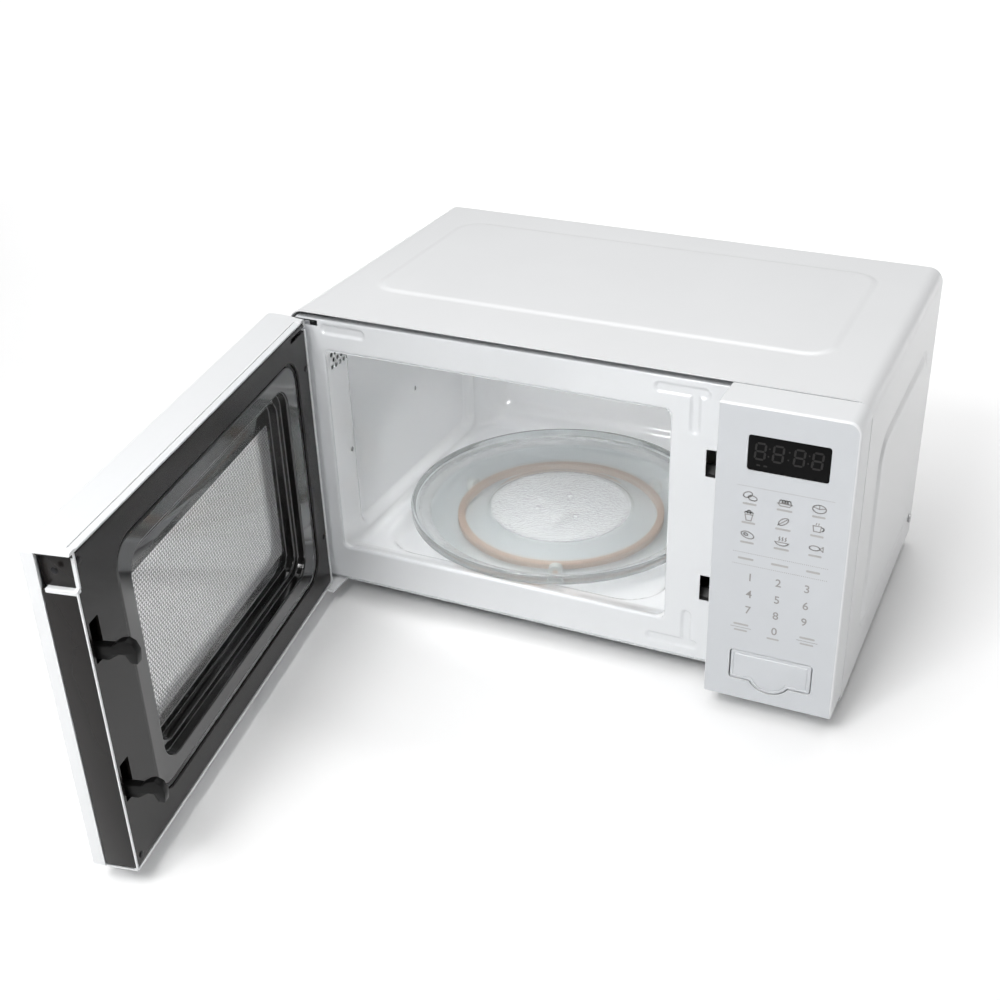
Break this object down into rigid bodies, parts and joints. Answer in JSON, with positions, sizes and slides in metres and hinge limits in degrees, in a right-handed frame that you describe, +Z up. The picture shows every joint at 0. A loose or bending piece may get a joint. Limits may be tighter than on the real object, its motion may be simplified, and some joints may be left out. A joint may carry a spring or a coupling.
{
  "type": "microwave oven",
  "caption": "Compact white countertop microwave oven with a side-hinged door standing open, glass turntable on a roller ring, button panel and push-button door latch.",
  "frame": {"origin": "centre of the cabinet footprint, on the plane the feet stand on", "axes": "+Z up; -Y out of the front, where the door and control panel are; +X to the right seen from the front; the door hinges at -X"},
  "size_m": [0.4537, 0.6398, 0.2522],
  "materials": {
    "white_paint": "gloss",
    "zinc": "satin",
    "steel": "satin",
    "rubber": "matte",
    "liner_paint": "gloss",
    "mica": "matte",
    "aluminium": "satin",
    "core": "matte",
    "can": "satin",
    "black_plastic": "matte",
    "grey_plastic": "matte",
    "white_plastic": "gloss",
    "ceramic": "matte",
    "bulb": "clear",
    "board": "matte",
    "membrane": "satin",
    "dark_glass": "gloss",
    "tray_glass": "clear",
    "ring_plastic": "matte",
    "roller_plastic": "matte",
    "window_clear": "clear",
    "film": "clear",
    "black_enamel": "gloss",
    "screen": "gloss",
    "dark_plastic": "satin",
    "hook_plastic": "satin",
    "red_plastic": "satin"
  },
  "bodies": {
    "oven": {"cabinet": "white_paint", "base_plate": "zinc", "back_panel": "zinc", "rear_spacers": "black_plastic", "feet": "rubber", "front_plate": "white_paint", "hinge_upper": "zinc", "hinge_lower": "white_paint", "cavity": "liner_paint", "waveguide": "zinc", "waveguide_cover": "mica", "magnetron": "aluminium", "transformer": "core", "capacitor": "can", "diode": "black_plastic", "fan_shroud": "grey_plastic", "fan_motor": "steel", "lamp_holder": "ceramic", "lamp_bulb": "bulb", "thermal_cutouts": "aluminium", "filter_board": "board", "cord_gland": "black_plastic", "cabinet_screws": "steel", "panel_bezel": "white_plastic", "membrane": "membrane", "display_window": "dark_glass", "display_module": "black_plastic", "control_board": "board", "button_spring": "steel", "interlock_holder": "white_plastic", "microswitches": "black_plastic", "tray_motor": "zinc"},
    "door": {"door_frame": "white_plastic", "door_window": "window_clear", "door_plate": "black_enamel", "mesh_screen": "screen", "inner_film": "film", "choke_cover": "dark_plastic", "door_screws": "steel", "latch_spring": "steel"},
    "latch": {"latch_bar": "hook_plastic"},
    "button": {"door_button": "white_plastic"},
    "lever": {"release_lever": "roller_plastic"},
    "fan": {"fan_blade": "grey_plastic"},
    "coupler": {"motor_shaft": "roller_plastic", "tray_coupler": "white_plastic"},
    "tray": {"glass_tray": "tray_glass"},
    "ring": {"roller_ring": "ring_plastic"},
    "roller_a": {"roller_a": "roller_plastic"},
    "roller_b": {"roller_b": "roller_plastic"},
    "roller_c": {"roller_c": "roller_plastic"},
    "plunger_upper": {"plunger_upper": "red_plastic"},
    "plunger_middle": {"plunger_middle": "red_plastic"},
    "plunger_lower": {"plunger_lower": "red_plastic"}
  },
  "joints": [
    {"name": "door_hinge", "type": "hinge", "parent": "oven", "child": "door", "pos_m": [-0.2121, -0.1446, 0.13], "axis": [0, 0, 1], "range_deg": [-15, 80]},
    {"name": "latch_lift", "type": "slide", "parent": "door", "child": "latch", "axis": [0, 0, 1], "range_m": [0, 0.0045], "stiffness_N_per_m": 200, "springref_m": -0.01, "deforming": ["latch_spring"]},
    {"name": "button_press", "type": "slide", "parent": "oven", "child": "button", "axis": [0, 1, 0], "range_m": [0, 0.004], "stiffness_N_per_m": 400, "springref_m": -0.003, "deforming": ["button_spring"]},
    {"name": "lever_turn", "type": "hinge", "parent": "oven", "child": "lever", "pos_m": [0.13, -0.121, 0.066], "axis": [1, 0, 0], "range_deg": [0, 23]},
    {"name": "fan_spin", "type": "hinge", "parent": "oven", "child": "fan", "pos_m": [0.157, 0.1, 0.119], "axis": [0, 1, 0], "continuous": true},
    {"name": "tray_turn", "type": "hinge", "parent": "oven", "child": "coupler", "pos_m": [-0.0555, 0.0005, 0.04], "axis": [0, 0, 1], "continuous": true},
    {"name": "tray_lift", "type": "slide", "parent": "coupler", "child": "tray", "axis": [0, 0, 1], "range_m": [0, 0.05]},
    {"name": "ring_turn", "type": "hinge", "parent": "oven", "child": "ring", "pos_m": [-0.0555, 0.0005, 0.0366], "axis": [0, 0, 1], "continuous": true},
    {"name": "roller_a_spin", "type": "hinge", "parent": "ring", "child": "roller_a", "pos_m": [-0.02359, -0.08717, 0.0366], "axis": [0.342, -0.9397, 0], "continuous": true},
    {"name": "roller_b_spin", "type": "hinge", "parent": "ring", "child": "roller_b", "pos_m": [0.00447, 0.07197, 0.0366], "axis": [0.6428, 0.766, 0], "continuous": true},
    {"name": "roller_c_spin", "type": "hinge", "parent": "ring", "child": "roller_c", "pos_m": [-0.14738, 0.0167, 0.0366], "axis": [-0.9848, 0.1736, 0], "continuous": true},
    {"name": "plunger_upper_press", "type": "slide", "parent": "oven", "child": "plunger_upper", "axis": [0, 1, 0], "range_m": [0, 0.0016], "stiffness_N_per_m": 300, "springref_m": -0.002},
    {"name": "plunger_middle_press", "type": "slide", "parent": "oven", "child": "plunger_middle", "axis": [0, 1, 0], "range_m": [0, 0.0016], "stiffness_N_per_m": 300, "springref_m": -0.002},
    {"name": "plunger_lower_press", "type": "slide", "parent": "oven", "child": "plunger_lower", "axis": [0, 1, 0], "range_m": [0, 0.0016], "stiffness_N_per_m": 300, "springref_m": -0.002}
  ],
  "couplings": [
    {"joint": "lever_turn", "follows": "button_press", "rad_per_m": 100},
    {"joint": "ring_turn", "follows": "tray_turn", "ratio": 0.5},
    {"joint": "roller_a_spin", "follows": "tray_turn", "ratio": -7.775},
    {"joint": "roller_b_spin", "follows": "tray_turn", "ratio": -7.775},
    {"joint": "roller_c_spin", "follows": "tray_turn", "ratio": -7.775}
  ]
}
